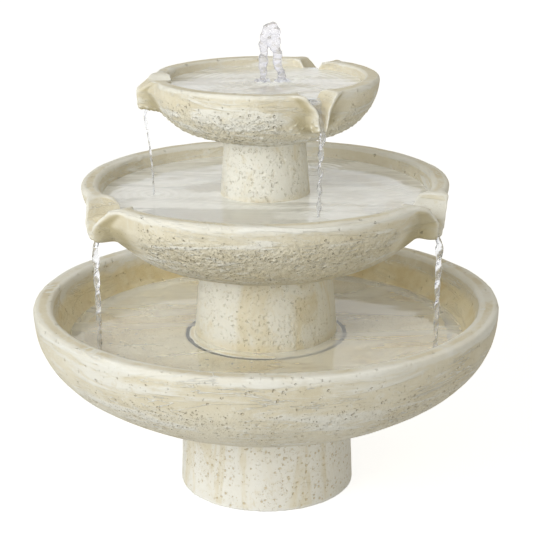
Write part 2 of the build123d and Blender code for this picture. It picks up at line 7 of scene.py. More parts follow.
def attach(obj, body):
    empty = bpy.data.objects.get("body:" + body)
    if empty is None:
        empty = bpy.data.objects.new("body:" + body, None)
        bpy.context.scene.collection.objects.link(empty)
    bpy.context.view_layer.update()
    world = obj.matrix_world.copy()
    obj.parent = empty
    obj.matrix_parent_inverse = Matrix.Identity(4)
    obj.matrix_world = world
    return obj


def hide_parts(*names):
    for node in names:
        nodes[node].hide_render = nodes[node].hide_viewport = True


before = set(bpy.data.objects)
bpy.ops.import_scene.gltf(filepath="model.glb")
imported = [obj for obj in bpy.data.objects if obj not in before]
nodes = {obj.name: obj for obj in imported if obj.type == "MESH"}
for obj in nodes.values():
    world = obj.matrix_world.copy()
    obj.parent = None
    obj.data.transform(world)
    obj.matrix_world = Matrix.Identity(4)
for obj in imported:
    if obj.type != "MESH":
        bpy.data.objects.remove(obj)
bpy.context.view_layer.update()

# ---------------------------------------------------------------------------
# Base pedestal: a hollow, slightly tapered drum of cast stone that stands on
# the ground.  It is cast upside down in a mould sprinkled with salt and lime,
# which leaves the holes and pale blooms of travertine.
# ---------------------------------------------------------------------------


def wire(tree, kind, sockets=None, **settings):
    """One node of a tree: settings first, then each socket is linked or given its value."""
    made = tree.nodes.new(kind)
    for key, value in settings.items():
        setattr(made, key, value)
    for key, value in (sockets or {}).items():
        if isinstance(value, bpy.types.NodeSocket):
            tree.links.new(value, made.inputs[key])
        else:
            made.inputs[key].default_value = value
    return made


def blend_of(tree, share, low, high, mode="MIX"):
    """Two colours mixed by a share."""
    mix = wire(tree, "ShaderNodeMix", data_type="RGBA", blend_type=mode)
    for index, value in ((0, share), (6, low), (7, high)):
        if isinstance(value, bpy.types.NodeSocket):
            tree.links.new(value, mix.inputs[index])
        else:
            mix.inputs[index].default_value = value
    return mix.outputs[2]


def sums(tree, operation, first, second=0.5, third=None):
    """One sum of two or three values."""
    made = wire(tree, "ShaderNodeMath", {0: first, 1: second}, operation=operation)
    if third is not None:
        made.inputs[2].default_value = third
    return made.outputs[0]


def ramped(tree, value, low, high, to_low=0.0, to_high=1.0):
    """A value eased from one range to another."""
    made = wire(tree, "ShaderNodeMapRange", {0: value, 1: low, 2: high, 3: to_low, 4: to_high})
    made.interpolation_type = "SMOOTHSTEP"
    return made.outputs[0]


def stretched(tree, place, scale):
    """Coordinates scaled apart along X, Y and Z."""
    return wire(tree, "ShaderNodeMapping", {"Vector": place, "Scale": scale}).outputs[0]


def fine_noise(tree, place, scale, detail=3.0, rough=0.55, warp=0.0):
    """Cloudy noise, at so many lumps a metre."""
    return wire(
        tree,
        "ShaderNodeTexNoise",
        {"Vector": place, "Scale": scale, "Detail": detail, "Roughness": rough, "Distortion": warp},
    ).outputs[0]


def cells(tree, place, scale):
    """Distance from the nearest of scattered points."""
    return wire(tree, "ShaderNodeTexVoronoi", {"Vector": place, "Scale": scale}).outputs["Distance"]


def pocks(tree, place, scale, share, widest=0.42):
    """Round holes of mixed sizes in a random share of the cells: 1 at a hole's bottom, 0 outside."""
    found = wire(tree, "ShaderNodeTexVoronoi", {"Vector": place, "Scale": scale})
    lot = wire(tree, "ShaderNodeSeparateXYZ", {0: found.outputs["Color"]}).outputs
    size = sums(tree, "MULTIPLY_ADD", lot[0], widest - 0.12, 0.12)
    near = sums(tree, "DIVIDE", found.outputs["Distance"], size)
    drawn = sums(tree, "LESS_THAN", lot[1], share)
    return sums(tree, "MULTIPLY", ramped(tree, near, 1.0, 0.45), drawn)


def ridged(tree, value, middle, width):
    """High where a value crosses the middle of its range, as along a seam."""
    away = wire(tree, "ShaderNodeMath", {0: sums(tree, "SUBTRACT", value, middle)}, operation="ABSOLUTE")
    return ramped(tree, away.outputs[0], width, 0.0)


def travertine(name, grain_way, wash_share, seams, pitted_below, pits_over, stain, pit_depth,
               tone=1.0, wet_and_shade_below=0.0, soaked=0.0, lumpy=0.0, recess_shade_below=0.0):
    """Cast travertine: cream body, lime wash, pits, pale arrises that are partly a painted highlight,
    and moist stone with painted shade inside a bowl.

    grain_way   how the wash is drawn out, per metre along X, Y and Z
    wash_share  how much of the piece the lime wash covers, 0 to 1
    seams       strength of the pale bed lines
    pitted_below, pits_over
                the height under which pits are thick, and their share above it
    stain       how brown the pits are, 0 to 1
    pit_depth   depth of the relief, in metres
    tone        how far a bowl's outside is darkened, 1 being unchanged
    wet_and_shade_below  the height under which stone is moist and painted with the shade of a bowl's
    inside, and soaked its share outside a bowl
    lumpy       strength of the coarse relief among the pits
    recess_shade_below the height under which a seat or a well is painted near-black, as painted shade in
    the deep recess"""
    material = bpy.data.materials.new(name)
    material.use_nodes = True
    tree = material.node_tree
    surface = tree.nodes["Principled BSDF"]
    place = wire(tree, "ShaderNodeTexCoord").outputs["Object"]
    height = wire(tree, "ShaderNodeSeparateXYZ", {0: place}).outputs["Z"]
    drawn = stretched(tree, place, grain_way)

    # body: clouds of cream and tan, and the paler lime wash, drawn out by the mould
    clouds = fine_noise(tree, place, 8.0, 5.0, 0.62, 0.5)
    colour = blend_of(tree, ramped(tree, clouds, 0.38, 0.68), cream, shade_tan)
    patches = fine_noise(tree, drawn, 1.0, 5.0, 0.6, 0.9)
    washed = ramped(tree, patches, 0.60 - 0.3 * wash_share, 0.70 - 0.2 * wash_share, 0.0, 0.75)
    colour = blend_of(tree, washed, colour, lime_wash)
    seam = sums(tree, "MULTIPLY", ridged(tree, patches, 0.47, 0.018), seams)
    seam = sums(tree, "MULTIPLY", seam, ramped(tree, clouds, 0.35, 0.6))
    colour = blend_of(tree, seam, colour, lime_wash)
    mottle = fine_noise(tree, place, 55.0, 5.0, 0.7, 0.6)
    colour = blend_of(tree, ramped(tree, mottle, 0.52, 0.72, 0.0, 0.5), colour, lime_wash)
    colour = blend_of(tree, ramped(tree, mottle, 0.46, 0.28, 0.0, 0.6), colour, shade_tan)

    # pits: thick low on the piece, few above
    rich = fine_noise(tree, place, 9.0, 3.0, 0.6, 0.3)
    low = ramped(tree, height, pitted_below + 0.02, pitted_below - 0.03, pits_over, 1.0)
    beak = wire(tree, "ShaderNodeAttribute", attribute_name="beak").outputs["Fac"]
    low = sums(tree, "MULTIPLY", low, ramped(tree, beak, 0.05, 0.5, 1.0, 0.1))
    share = sums(tree, "MULTIPLY", ramped(tree, rich, 0.32, 0.60, 0.15, 0.95), low)
    nudge = wire(tree, "ShaderNodeTexNoise", {"Vector": place, "Scale": 130.0}).outputs["Color"]
    pull = wire(tree, "ShaderNodeVectorMath", {0: nudge, 3: 0.006}, operation="SCALE").outputs[0]
    warped = wire(tree, "ShaderNodeVectorMath", {0: place, 1: pull}, operation="ADD").outputs[0]
    holes = pocks(tree, warped, 105.0, share)
    pricks = pocks(tree, warped, 240.0, share)
    pits = sums(tree, "MAXIMUM", holes, sums(tree, "MULTIPLY", pricks, 0.6))
    hollow = wire(tree, "ShaderNodeAttribute", attribute_name="hollow").outputs["Fac"]
    deep = sums(tree, "MAXIMUM", pits, ramped(tree, hollow, 0.3, 0.9))
    ochre = blend_of(tree, mottle, pit_brown, pit_ochre)
    colour = blend_of(tree, sums(tree, "MULTIPLY", deep, stain), colour, ochre)

    # pale arrises: chalky rubbing, and a painted highlight along the convex edges
    rubbed_and_highlit = wire(tree, "ShaderNodeAttribute", attribute_name="rubbed_and_highlit").outputs["Fac"]
    chalk_and_highlight = ramped(tree, rubbed_and_highlit, 0.22, 0.75, 0.0, 0.6)
    colour = blend_of(tree, chalk_and_highlight, colour, edge_highlight_chalk)

    # moist tan stone with painted shade inside the bowl, a darker outside, and painted near-black shade
    # in the seats
    rough = sums(tree, "MULTIPLY_ADD", mottle, 0.2, 0.62)
    if wet_and_shade_below:
        inside = wire(tree, "ShaderNodeAttribute", attribute_name="inside").outputs["Fac"]
        # the outside is darkened by tone
        outside_darkened = blend_of(tree, 1.0, colour, (tone, tone, tone * 0.985, 1), "MULTIPLY")
        colour = blend_of(tree, inside, outside_darkened, colour)
        wander = sums(tree, "MULTIPLY_ADD", fine_noise(tree, place, 20.0), 0.03, -0.015)
        level = sums(tree, "ADD", height, wander)
        wet_and_shade_mask = ramped(tree, level, wet_and_shade_below + 0.010, wet_and_shade_below - 0.010)
        wet_and_shade_mask = sums(tree, "MULTIPLY", sums(tree, "MAXIMUM", inside, soaked), wet_and_shade_mask)
        # painted shade: inward faces under the waterline take a warmer, darker tan, standing in for the
        # shade inside the bowl as well as moisture
        wet_and_shade_tone = blend_of(tree, ramped(tree, clouds, 0.35, 0.65), wet_and_shade_tan, wet_and_shade_cream)
        colour = blend_of(tree, sums(tree, "MULTIPLY", wet_and_shade_mask, 0.85), colour, wet_and_shade_tone)
        rough = sums(tree, "SUBTRACT", rough, sums(tree, "MULTIPLY", wet_and_shade_mask, 0.3))
    # painted shade: below this height the seat's recess and the pump well are painted near-black olive
    if recess_shade_below:
        sunk = ramped(tree, height, recess_shade_below + 0.001, recess_shade_below - 0.002)
        if not soaked:
            sunk = sums(tree, "MULTIPLY", sunk, inside)
        recess_shade = blend_of(tree, ramped(tree, mottle, 0.35, 0.65), recess_shade_black, recess_shade_olive)
        colour = blend_of(tree, sunk, colour, recess_shade)
    # painted shade: the underside of each spout's beak is darkened to olive
    under = wire(tree, "ShaderNodeAttribute", attribute_name="under").outputs["Fac"]
    colour = blend_of(tree, sums(tree, "MULTIPLY", under, 0.75), colour, beak_underside_shade)
    tree.links.new(colour, surface.inputs["Base Color"])
    tree.links.new(rough, surface.inputs["Roughness"])

    # relief: grain, the drawn wash, lumps and pits
    grain = fine_noise(tree, place, 380.0, 4.0, 0.65)
    relief = sums(tree, "MULTIPLY_ADD", grain, 0.14, 0.0)
    relief = sums(tree, "ADD", relief, sums(tree, "MULTIPLY", washed, 0.35))
    relief = sums(tree, "ADD", relief, sums(tree, "MULTIPLY", seam, 0.25))
    lumps = fine_noise(tree, warped, 75.0, 2.5, 0.55)
    lumps = sums(tree, "MULTIPLY", sums(tree, "MULTIPLY", lumps, low), lumpy)
    relief = sums(tree, "ADD", relief, lumps)
    relief = sums(tree, "SUBTRACT", relief, pits)
    bump = wire(tree, "ShaderNodeBump", {"Strength": 1.0, "Distance": pit_depth, "Height": relief})
    tree.links.new(bump.outputs[0], surface.inputs["Normal"])
    return material


def casting_tree():
    """Unevenness of a hand-finished casting, and its larger pits, pressed into the mesh."""
    tree = bpy.data.node_groups.new("casting_surface", "GeometryNodeTree")
    for label, kind in (
        ("Geometry", "NodeSocketGeometry"),
        ("Unevenness", "NodeSocketFloat"),
        ("Pit Depth", "NodeSocketFloat"),
        ("Pits Per Metre", "NodeSocketFloat"),
        ("Pitted Share", "NodeSocketFloat"),
        ("Pits Below", "NodeSocketFloat"),
        ("Knob Height", "NodeSocketFloat"),
        ("Seed", "NodeSocketFloat"),
        ("Finish", "NodeSocketMaterial"),
    ):
        tree.interface.new_socket(label, in_out="INPUT", socket_type=kind)
    tree.interface.new_socket("Geometry", in_out="OUTPUT", socket_type="NodeSocketGeometry")
    given = tree.nodes.new("NodeGroupInput").outputs
    position = wire(tree, "GeometryNodeInputPosition").outputs[0]
    normal = wire(tree, "GeometryNodeInputNormal").outputs[0]
    seed = wire(tree, "ShaderNodeCombineXYZ", {0: given["Seed"], 1: given["Seed"]}).outputs[0]
    place = wire(tree, "ShaderNodeVectorMath", {0: position, 1: seed}, operation="ADD").outputs[0]
    height = wire(tree, "ShaderNodeSeparateXYZ", {0: position}).outputs["Z"]

    broad = sums(tree, "SUBTRACT", fine_noise(tree, place, 9.0, 2.0), 0.5)
    rise = sums(tree, "MULTIPLY", broad, given["Unevenness"])
    clusters = fine_noise(tree, place, 13.0, 3.0, 0.6, 0.5)
    threshold = sums(tree, "SUBTRACT", 0.8, sums(tree, "MULTIPLY", given["Pitted Share"], 0.5))
    rich = sums(tree, "MULTIPLY", sums(tree, "SUBTRACT", clusters, threshold), 12.0)
    rich = wire(tree, "ShaderNodeClamp", {0: rich}).outputs[0]
    nudge = wire(tree, "ShaderNodeTexNoise", {"Vector": place, "Scale": 90.0}).outputs["Color"]
    pull = wire(tree, "ShaderNodeVectorMath", {0: nudge, 3: 0.008}, operation="SCALE").outputs[0]
    warped = wire(tree, "ShaderNodeVectorMath", {0: place, 1: pull}, operation="ADD").outputs[0]
    pit = pocks(tree, warped, given["Pits Per Metre"], sums(tree, "MULTIPLY", rich, 0.75), 0.5)
    below = sums(tree, "MULTIPLY", sums(tree, "SUBTRACT", given["Pits Below"], height), 30.0)
    below = wire(tree, "ShaderNodeClamp", {0: below}).outputs[0]
    beak = wire(tree, "GeometryNodeInputNamedAttribute", {0: "beak"}, data_type="FLOAT")
    beak = beak.outputs["Attribute"]
    plain = ramped(tree, beak, 0.05, 0.5, 1.0, 0.0)
    pit = sums(tree, "MULTIPLY", sums(tree, "MULTIPLY", pit, below), plain)
    rise = sums(tree, "SUBTRACT", rise, sums(tree, "MULTIPLY", pit, given["Pit Depth"]))
    knob = ramped(tree, cells(tree, warped, 95.0), 0.45, 0.05)
    knob = sums(tree, "MULTIPLY", sums(tree, "MULTIPLY", knob, below), given["Knob Height"])
    rise = sums(tree, "ADD", rise, knob)

    # faces turned in or up: the mask for a bowl's moist stone and its painted inner shade
    outward = wire(tree, "ShaderNodeVectorMath", {0: position, 1: (1, 1, 0)}, operation="MULTIPLY")
    outward = wire(tree, "ShaderNodeVectorMath", {0: outward.outputs[0]}, operation="NORMALIZE")
    facing = {0: outward.outputs[0], 1: normal}
    facing = wire(tree, "ShaderNodeVectorMath", facing, operation="DOT_PRODUCT")
    inside = ramped(tree, facing.outputs["Value"], -0.02, -0.35)
    tilt = wire(tree, "ShaderNodeSeparateXYZ", {0: normal}).outputs["Z"]
    inside = sums(tree, "MAXIMUM", inside, ramped(tree, tilt, 0.55, 0.9))

    # convexity, stored as the arris mask: chalky rubbing plus a painted highlight on convex edges
    blurred = wire(tree, "GeometryNodeBlurAttribute", data_type="FLOAT_VECTOR")
    blurred.inputs["Iterations"].default_value = 6
    tree.links.new(position, next(i for i in blurred.inputs if i.type == "VECTOR" and i.enabled))
    smooth = next(o for o in blurred.outputs if o.type == "VECTOR" and o.enabled)
    proud = wire(tree, "ShaderNodeVectorMath", {0: position, 1: smooth}, operation="SUBTRACT")
    proud = {0: proud.outputs[0], 1: normal}
    proud = wire(tree, "ShaderNodeVectorMath", proud, operation="DOT_PRODUCT")
    rubbed_and_highlit = sums(tree, "MULTIPLY", proud.outputs["Value"], 1000.0)

    moved = wire(tree, "ShaderNodeVectorMath", {0: normal, 3: rise}, operation="SCALE").outputs[0]
    shaped = {"Geometry": given["Geometry"], "Offset": moved}
    shaped = wire(tree, "GeometryNodeSetPosition", shaped).outputs[0]
    # painted shade mask: the downward faces of a spout's beak
    under = ramped(tree, tilt, -0.05, -0.5)
    under = sums(tree, "MULTIPLY", ramped(tree, beak, 0.4, 0.85), under)
    for label, value in (("hollow", pit), ("inside", inside), ("rubbed_and_highlit", rubbed_and_highlit), ("under", under)):
        holder = {"Geometry": shaped, "Name": label}
        stored = wire(tree, "GeometryNodeStoreNamedAttribute", holder, domain="POINT")
        tree.links.new(value, stored.inputs["Value"])
        shaped = stored.outputs[0]
    shaped = wire(tree, "GeometryNodeRealizeInstances", {0: shaped}).outputs[0]
    shaped = {"Geometry": shaped, "Material": given["Finish"]}
    shaped = wire(tree, "GeometryNodeSetMaterial", shaped).outputs[0]
    tree.links.new(shaped, tree.nodes.new("NodeGroupOutput").inputs[0])
    return tree


def set_inputs(modifier, values):
    """The modifier's named inputs, set through their sockets' identifiers."""
    for item in modifier.node_group.interface.items_tree:
        if item.item_type == "SOCKET" and item.in_out == "INPUT" and item.name in values:
            modifier[item.identifier] = values[item.name]


def linked(name, mesh):
    """A new object in the scene."""
    piece = bpy.data.objects.new(name, mesh)
    bpy.context.scene.collection.objects.link(piece)
    return piece


def settled(piece):
    """The piece's mesh with its modifiers worked in."""
    graph = bpy.context.evaluated_depsgraph_get()
    mesh = bpy.data.meshes.new_from_object(piece.evaluated_get(graph))
    piece.modifiers.clear()
    piece.data = mesh
    return piece


def polar(radius, degrees, z):
    """A point by its radius and its angle round the stack."""
    turn = math.radians(degrees)
    return Vector((radius * math.cos(turn), radius * math.sin(turn), z))


def spout_share(point, angle, radius, z, reach):
    """1 on a spout, easing to 0 at its reach."""
    return max(0.0, min(1.0, 2.0 - 2.0 * (point - polar(radius, angle, z)).length / reach))


def cast_stone(node, voxel, finish, spouts=(), softening=0, **surface):
    """A casting: the frame's solid with softened arrises, eased spouts, uneven faces and pits.

    A spout is (angle, radius, z, reach, how far its beak is drawn out, how far it is raised)."""
    blank = nodes[node].data.copy()
    shell = bmesh.new()
    shell.from_mesh(blank)
    bmesh.ops.remove_doubles(shell, verts=shell.verts, dist=1e-5)
    shell.to_mesh(blank)
    shell.free()
    piece = linked(node + "_stone", blank)
    skin = piece.modifiers.new("skin", "REMESH")
    skin.mode = "VOXEL"
    skin.voxel_size = voxel
    soften = piece.modifiers.new("soften", "SMOOTH")
    soften.factor = 0.5
    soften.iterations = 3
    settled(piece)
    shares = [0.0] * len(piece.data.vertices)
    if spouts:
        zone = piece.vertex_groups.new(name="spouts")
        for vertex in piece.data.vertices:
            for angle, radius, z, reach, drawn_out, raised in spouts:
                share = spout_share(vertex.co, angle, radius, z, reach)
                if share > 0:
                    zone.add([vertex.index], share, "REPLACE")
                    shares[vertex.index] = share
                    beyond = min(1.0, max(0.0, vertex.co.xy.length / (0.2 * radius) - 4.0))
                    low = min(1.0, max(0.0, (z + 0.022 - vertex.co.z) / 0.032))
                    out = drawn_out * (1.6 * low - 0.6)
                    across = polar(1.0, angle + 90.0, 0)
                    narrowing = 0.32 * low * share * beyond
                    vertex.co += polar(out, angle, raised * low) * (share * beyond)
                    vertex.co -= across * (across.dot(vertex.co) * narrowing)
        ease = piece.modifiers.new("ease", "SMOOTH")
        ease.factor = 0.5
        ease.iterations = softening
        ease.vertex_group = "spouts"
    piece.data.attributes.new("beak", "FLOAT", "POINT").data.foreach_set("value", shares)
    work = piece.modifiers.new("surface", "NODES")
    work.node_group = casting
    set_inputs(work, dict(surface, Finish=finish))
    settled(piece)
    for face in piece.data.polygons:
        face.use_smooth = True
    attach(piece, "fountain")
    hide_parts(node)
    return piece


casting = casting_tree()
cream = (0.785, 0.735, 0.60, 1)
shade_tan = (0.70, 0.635, 0.48, 1)
lime_wash = (0.86, 0.86, 0.83, 1)
# pale of the arrises: chalky rubbing and a painted highlight
edge_highlight_chalk = (0.90, 0.90, 0.87, 1)
pit_brown = (0.52, 0.38, 0.17, 1)
pit_ochre = (0.68, 0.55, 0.31, 1)
# colours of moist stone and of the painted shade inside a bowl
wet_and_shade_tan = (0.70, 0.56, 0.28, 1)
wet_and_shade_cream = (0.88, 0.79, 0.55, 1)
# painted shade for the deep recess at the seats
recess_shade_black = (0.02, 0.022, 0.01, 1)
recess_shade_olive = (0.06, 0.06, 0.025, 1)
# painted shade under the spouts' beaks
beak_underside_shade = (0.42, 0.36, 0.20, 1)
base_finish = travertine(
    "travertine_base", grain_way=(16.0, 16.0, 3.0), wash_share=0.8, seams=0.3,
    pitted_below=1.0, pits_over=0.55, stain=0.6, pit_depth=0.0014,
)
cast_stone(
    "base_pedestal", voxel=0.0032, finish=base_finish,
    **{"Unevenness": 0.003, "Pit Depth": 0.0018, "Pits Per Metre": 85.0, "Pitted Share": 0.5,
       "Pits Below": 0.5, "Knob Height": 0.0, "Seed": 3.0},
)

# ---------------------------------------------------------------------------
# Lower bowl: the reservoir, a thick cast basin with a flat rim.  The mould was
# filled in level beds, so the wall under the rim is streaked, and the pits
# are thick on the underside.
# ---------------------------------------------------------------------------
lower_finish = travertine(
    "travertine_lower", grain_way=(3.5, 3.5, 24.0), wash_share=0.35, seams=1.0,
    pitted_below=0.345, pits_over=0.16, stain=0.3, pit_depth=0.0034,
    tone=0.86, wet_and_shade_below=0.392, lumpy=1.0, recess_shade_below=0.323,
)
cast_stone(
    "lower_bowl", voxel=0.0050, finish=lower_finish,
    **{"Unevenness": 0.004, "Pit Depth": 0.003, "Pits Per Metre": 75.0, "Pitted Share": 0.75,
       "Pits Below": 0.345, "Knob Height": 0.0, "Seed": 11.0},
)

# ---------------------------------------------------------------------------
# Middle pedestal: a hollow drum with a foot flange, which stands over the
# pump well.  Four low inlets under the flange let the water back in.
# ---------------------------------------------------------------------------
middle_drum_finish = travertine(
    "travertine_middle_drum", grain_way=(14.0, 14.0, 5.0), wash_share=0.8, seams=0.1,
    pitted_below=1.0, pits_over=0.6, stain=0.12, pit_depth=0.0018,
    wet_and_shade_below=0.362, soaked=0.35, recess_shade_below=0.3225,
)
cast_stone(
    "middle_pedestal", voxel=0.0031, finish=middle_drum_finish,
    **{"Unevenness": 0.003, "Pit Depth": 0.0018, "Pits Per Metre": 85.0, "Pitted Share": 0.7,
       "Pits Below": 0.6, "Knob Height": 0.0, "Seed": 23.0},
)

# ---------------------------------------------------------------------------
# Middle bowl: a cast basin with three beaked spouts pulled down from its rim.
# It stands dry, without mortar, on rubber pads on the middle pedestal.
# ---------------------------------------------------------------------------
middle_angles = (-150.0, -29.0, 92.0)
middle_beak = (0.385, 0.65, 0.14)
middle_finish = travertine(
    "travertine_middle", grain_way=(4.5, 4.5, 28.0), wash_share=0.35, seams=0.6,
    pitted_below=0.648, pits_over=0.10, stain=0.18, pit_depth=0.0055,
    tone=0.92, wet_and_shade_below=0.645, lumpy=2.0,
)
cast_stone(
    "middle_bowl", voxel=0.0041, finish=middle_finish,
    spouts=[
        (middle_angles[0], *middle_beak, 0.010, 0.003),
        (middle_angles[1], *middle_beak, 0.002, 0.0),
        (middle_angles[2], *middle_beak, 0.004, 0.0),
    ],
    softening=22,
    **{"Unevenness": 0.004, "Pit Depth": 0.0042, "Pits Per Metre": 88.0, "Pitted Share": 1.1,
       "Pits Below": 0.642, "Knob Height": 0.0, "Seed": 37.0},
)

# ---------------------------------------------------------------------------
# Upper pedestal: the small hollow drum, cast like the two below it.  It stands
# on the middle bowl's floor and hides the hose.
# ---------------------------------------------------------------------------
upper_drum_finish = travertine(
    "travertine_upper_drum", grain_way=(14.0, 14.0, 5.0), wash_share=0.8, seams=0.1,
    pitted_below=1.0, pits_over=0.6, stain=0.12, pit_depth=0.0018,
    wet_and_shade_below=0.662, soaked=0.35,
)
cast_stone(
    "upper_pedestal", voxel=0.0026, finish=upper_drum_finish,
    **{"Unevenness": 0.0025, "Pit Depth": 0.0016, "Pits Per Metre": 90.0, "Pitted Share": 0.7,
       "Pits Below": 1.0, "Knob Height": 0.0, "Seed": 41.0},
)

# ---------------------------------------------------------------------------
# Top bowl: the smallest basin, with three spouts.  The stipple of its mould
# left a knobbly skin on the lower half.
# ---------------------------------------------------------------------------
top_angles = (-64.0, 58.0, 184.0)
top_beak = (0.238, 0.878, 0.10)
top_finish = travertine(
    "travertine_top", grain_way=(6.0, 6.0, 26.0), wash_share=0.4, seams=0.4,
    pitted_below=0.870, pits_over=0.08, stain=0.15, pit_depth=0.0055,
    tone=0.96, wet_and_shade_below=0.880, lumpy=2.0,
)
cast_stone(
    "top_bowl", voxel=0.0027, finish=top_finish,
    spouts=[
        (top_angles[0], *top_beak, 0.003, 0.0),
        (top_angles[1], *top_beak, 0.003, 0.0),
        (top_angles[2], *top_beak, 0.014, 0.012),
    ],
    softening=26,
    **{"Unevenness": 0.003, "Pit Depth": 0.002, "Pits Per Metre": 95.0, "Pitted Share": 0.8,
       "Pits Below": 0.868, "Knob Height": 0.0024, "Seed": 53.0},
)

# ---------------------------------------------------------------------------
# Setting pads and stoppers: black rubber, cut from sheet or moulded, that
# levels one casting on the next and seals the holes in the stone.
# ---------------------------------------------------------------------------


def moulded(name, dark, light, rough, grain, relief, metallic=0.0):
    """A moulded or turned finish: two close tones, uneven gloss and a fine grain."""
    material = bpy.data.materials.new(name)
    material.use_nodes = True
    tree = material.node_tree
    surface = tree.nodes["Principled BSDF"]
    place = wire(tree, "ShaderNodeTexCoord").outputs["Object"]
    cloud = fine_noise(tree, place, grain * 0.08, 4.0)
    colour = blend_of(tree, ramped(tree, cloud, 0.35, 0.65), dark, light)
    tree.links.new(colour, surface.inputs["Base Color"])
    speck = fine_noise(tree, place, grain, 3.0)
    tree.links.new(sums(tree, "MULTIPLY_ADD", speck, 0.25, rough - 0.12), surface.inputs["Roughness"])
    bump = wire(tree, "ShaderNodeBump", {"Strength": 0.5, "Distance": relief, "Height": speck})
    tree.links.new(bump.outputs[0], surface.inputs["Normal"])
    surface.inputs["Metallic"].default_value = metallic
    return material


def finished(material, *names):
    """The finish, on pieces that keep the frame's own shape."""
    for name in names:
        for holder in nodes[name].material_slots:
            holder.material = material


setting_rubber = moulded(
    "setting_rubber", dark=(0.02, 0.02, 0.02, 1), light=(0.05, 0.05, 0.048, 1),
    rough=0.8, grain=900, relief=0.0003,
)
finished(setting_rubber, "base_setting_pads", "middle_foot_pads", "middle_setting_pads",
         "upper_foot_pads", "top_setting_pads")
stopper_rubber = moulded(
    "stopper_rubber", dark=(0.015, 0.015, 0.016, 1), light=(0.04, 0.038, 0.035, 1),
    rough=0.6, grain=700, relief=0.0002,
)
finished(stopper_rubber, "drain_stopper", "middle_bowl_stopper", "nozzle_washer", "pump_shaft_bushes",
         "pump_suction_feet", "pump_cord_gland", "pump_chamber_seal")

# ---------------------------------------------------------------------------
# Pump: a small submersible pump in the well.  Its winding is potted in black
# resin; the chamber, cage and flow dial are moulded and snap together.
# ---------------------------------------------------------------------------
pump_plastic = moulded(
    "pump_plastic", dark=(0.012, 0.012, 0.014, 1), light=(0.03, 0.03, 0.033, 1),
    rough=0.5, grain=1200, relief=0.00015,
)
finished(pump_plastic, "pump_outlet_adapter", "pump_volute_cover", "pump_intake_cage", "pump_flow_dial")
pump_resin = moulded(
    "pump_resin", dark=(0.008, 0.009, 0.012, 1), light=(0.02, 0.02, 0.024, 1),
    rough=0.3, grain=500, relief=0.00012,
)
finished(pump_resin, "pump_motor_housing")
impeller_plastic = moulded(
    "impeller_plastic", dark=(0.60, 0.62, 0.62, 1), light=(0.74, 0.75, 0.73, 1),
    rough=0.4, grain=900, relief=0.0001,
)
finished(impeller_plastic, "pump_impeller")
ferrite = moulded(
    "ferrite", dark=(0.03, 0.03, 0.033, 1), light=(0.07, 0.065, 0.065, 1),
    rough=0.55, grain=1500, relief=0.0001, metallic=0.3,
)
finished(ferrite, "pump_rotor_magnet")
shaft_ceramic = moulded(
    "shaft_ceramic", dark=(0.72, 0.70, 0.65, 1), light=(0.82, 0.81, 0.77, 1),
    rough=0.3, grain=2000, relief=0.00004,
)
finished(shaft_ceramic, "pump_shaft")

# ---------------------------------------------------------------------------
# Hose, clamps and nozzle: clear vinyl hose on barbs, held by steel bands, and
# a turned brass stem and tip that clamp through the top bowl with a locknut.
# ---------------------------------------------------------------------------
hose_vinyl = moulded(
    "hose_vinyl", dark=(0.62, 0.66, 0.62, 1), light=(0.74, 0.77, 0.73, 1),
    rough=0.3, grain=300, relief=0.0001,
)
finished(hose_vinyl, "supply_hose")
clamp_steel = moulded(
    "clamp_steel", dark=(0.48, 0.49, 0.50, 1), light=(0.62, 0.63, 0.64, 1),
    rough=0.35, grain=1600, relief=0.00006, metallic=1.0,
)
finished(clamp_steel, "hose_clamps")
brass = moulded(
    "nozzle_brass", dark=(0.50, 0.34, 0.13, 1), light=(0.66, 0.48, 0.21, 1),
    rough=0.38, grain=800, relief=0.00008, metallic=1.0,
)
finished(brass, "nozzle_stem", "nozzle_locknut", "nozzle_tip")

# ---------------------------------------------------------------------------
# Standing water: each bowl is full to just under its spouts.  The surface is
# broken by rings from the streams that land in it and by slow swell.
# ---------------------------------------------------------------------------


def clear_water(name, ripple, per_metre, painted_reflection_share, tint=(0.97, 0.98, 0.97, 1)):
    """Clear water, which lets the lamps through to the stone under it; a banded share of it is pale
    diffuse white, a painted reflection of the bright room.
    """
    material = bpy.data.materials.new(name)
    material.use_nodes = True
    tree = material.node_tree
    surface = tree.nodes["Principled BSDF"]
    surface.inputs["Base Color"].default_value = tint
    surface.inputs["Transmission Weight"].default_value = 1.0
    surface.inputs["IOR"].default_value = 1.333
    surface.inputs["Roughness"].default_value = 0.03
    place = wire(tree, "ShaderNodeTexCoord").outputs["Object"]
    swell = fine_noise(tree, stretched(tree, place, (1.0, 2.8, 1.0)), per_metre, 3.0, 0.5, 0.6)
    # painted reflection: drawn-out bands where the water turns pale diffuse white, standing in for the
    # bright room seen in it
    reflection_streaks = stretched(tree, place, (1.0, 3.2, 1.0))
    reflection_streaks = fine_noise(tree, reflection_streaks, per_metre * 0.45, 4.0, 0.5, 1.0)
    clear = ramped(tree, reflection_streaks, 0.58, 0.42, 1.0 - 1.4 * painted_reflection_share, 1.0 - 0.8 * painted_reflection_share)
    tree.links.new(clear, surface.inputs["Transmission Weight"])
    bump = wire(tree, "ShaderNodeBump", {"Strength": 0.8, "Distance": ripple, "Height": swell})
    tree.links.new(bump.outputs[0], surface.inputs["Normal"])
    shadow = wire(tree, "ShaderNodeLightPath").outputs["Is Shadow Ray"]
    through = wire(tree, "ShaderNodeBsdfTransparent", {0: (0.97, 0.98, 0.97, 1)})
    mixed = wire(tree, "ShaderNodeMixShader", {0: shadow, 1: surface.outputs[0], 2: through.outputs[0]})
    out = tree.nodes["Material Output"]
    tree.links.new(mixed.outputs[0], out.inputs["Surface"])
    return material


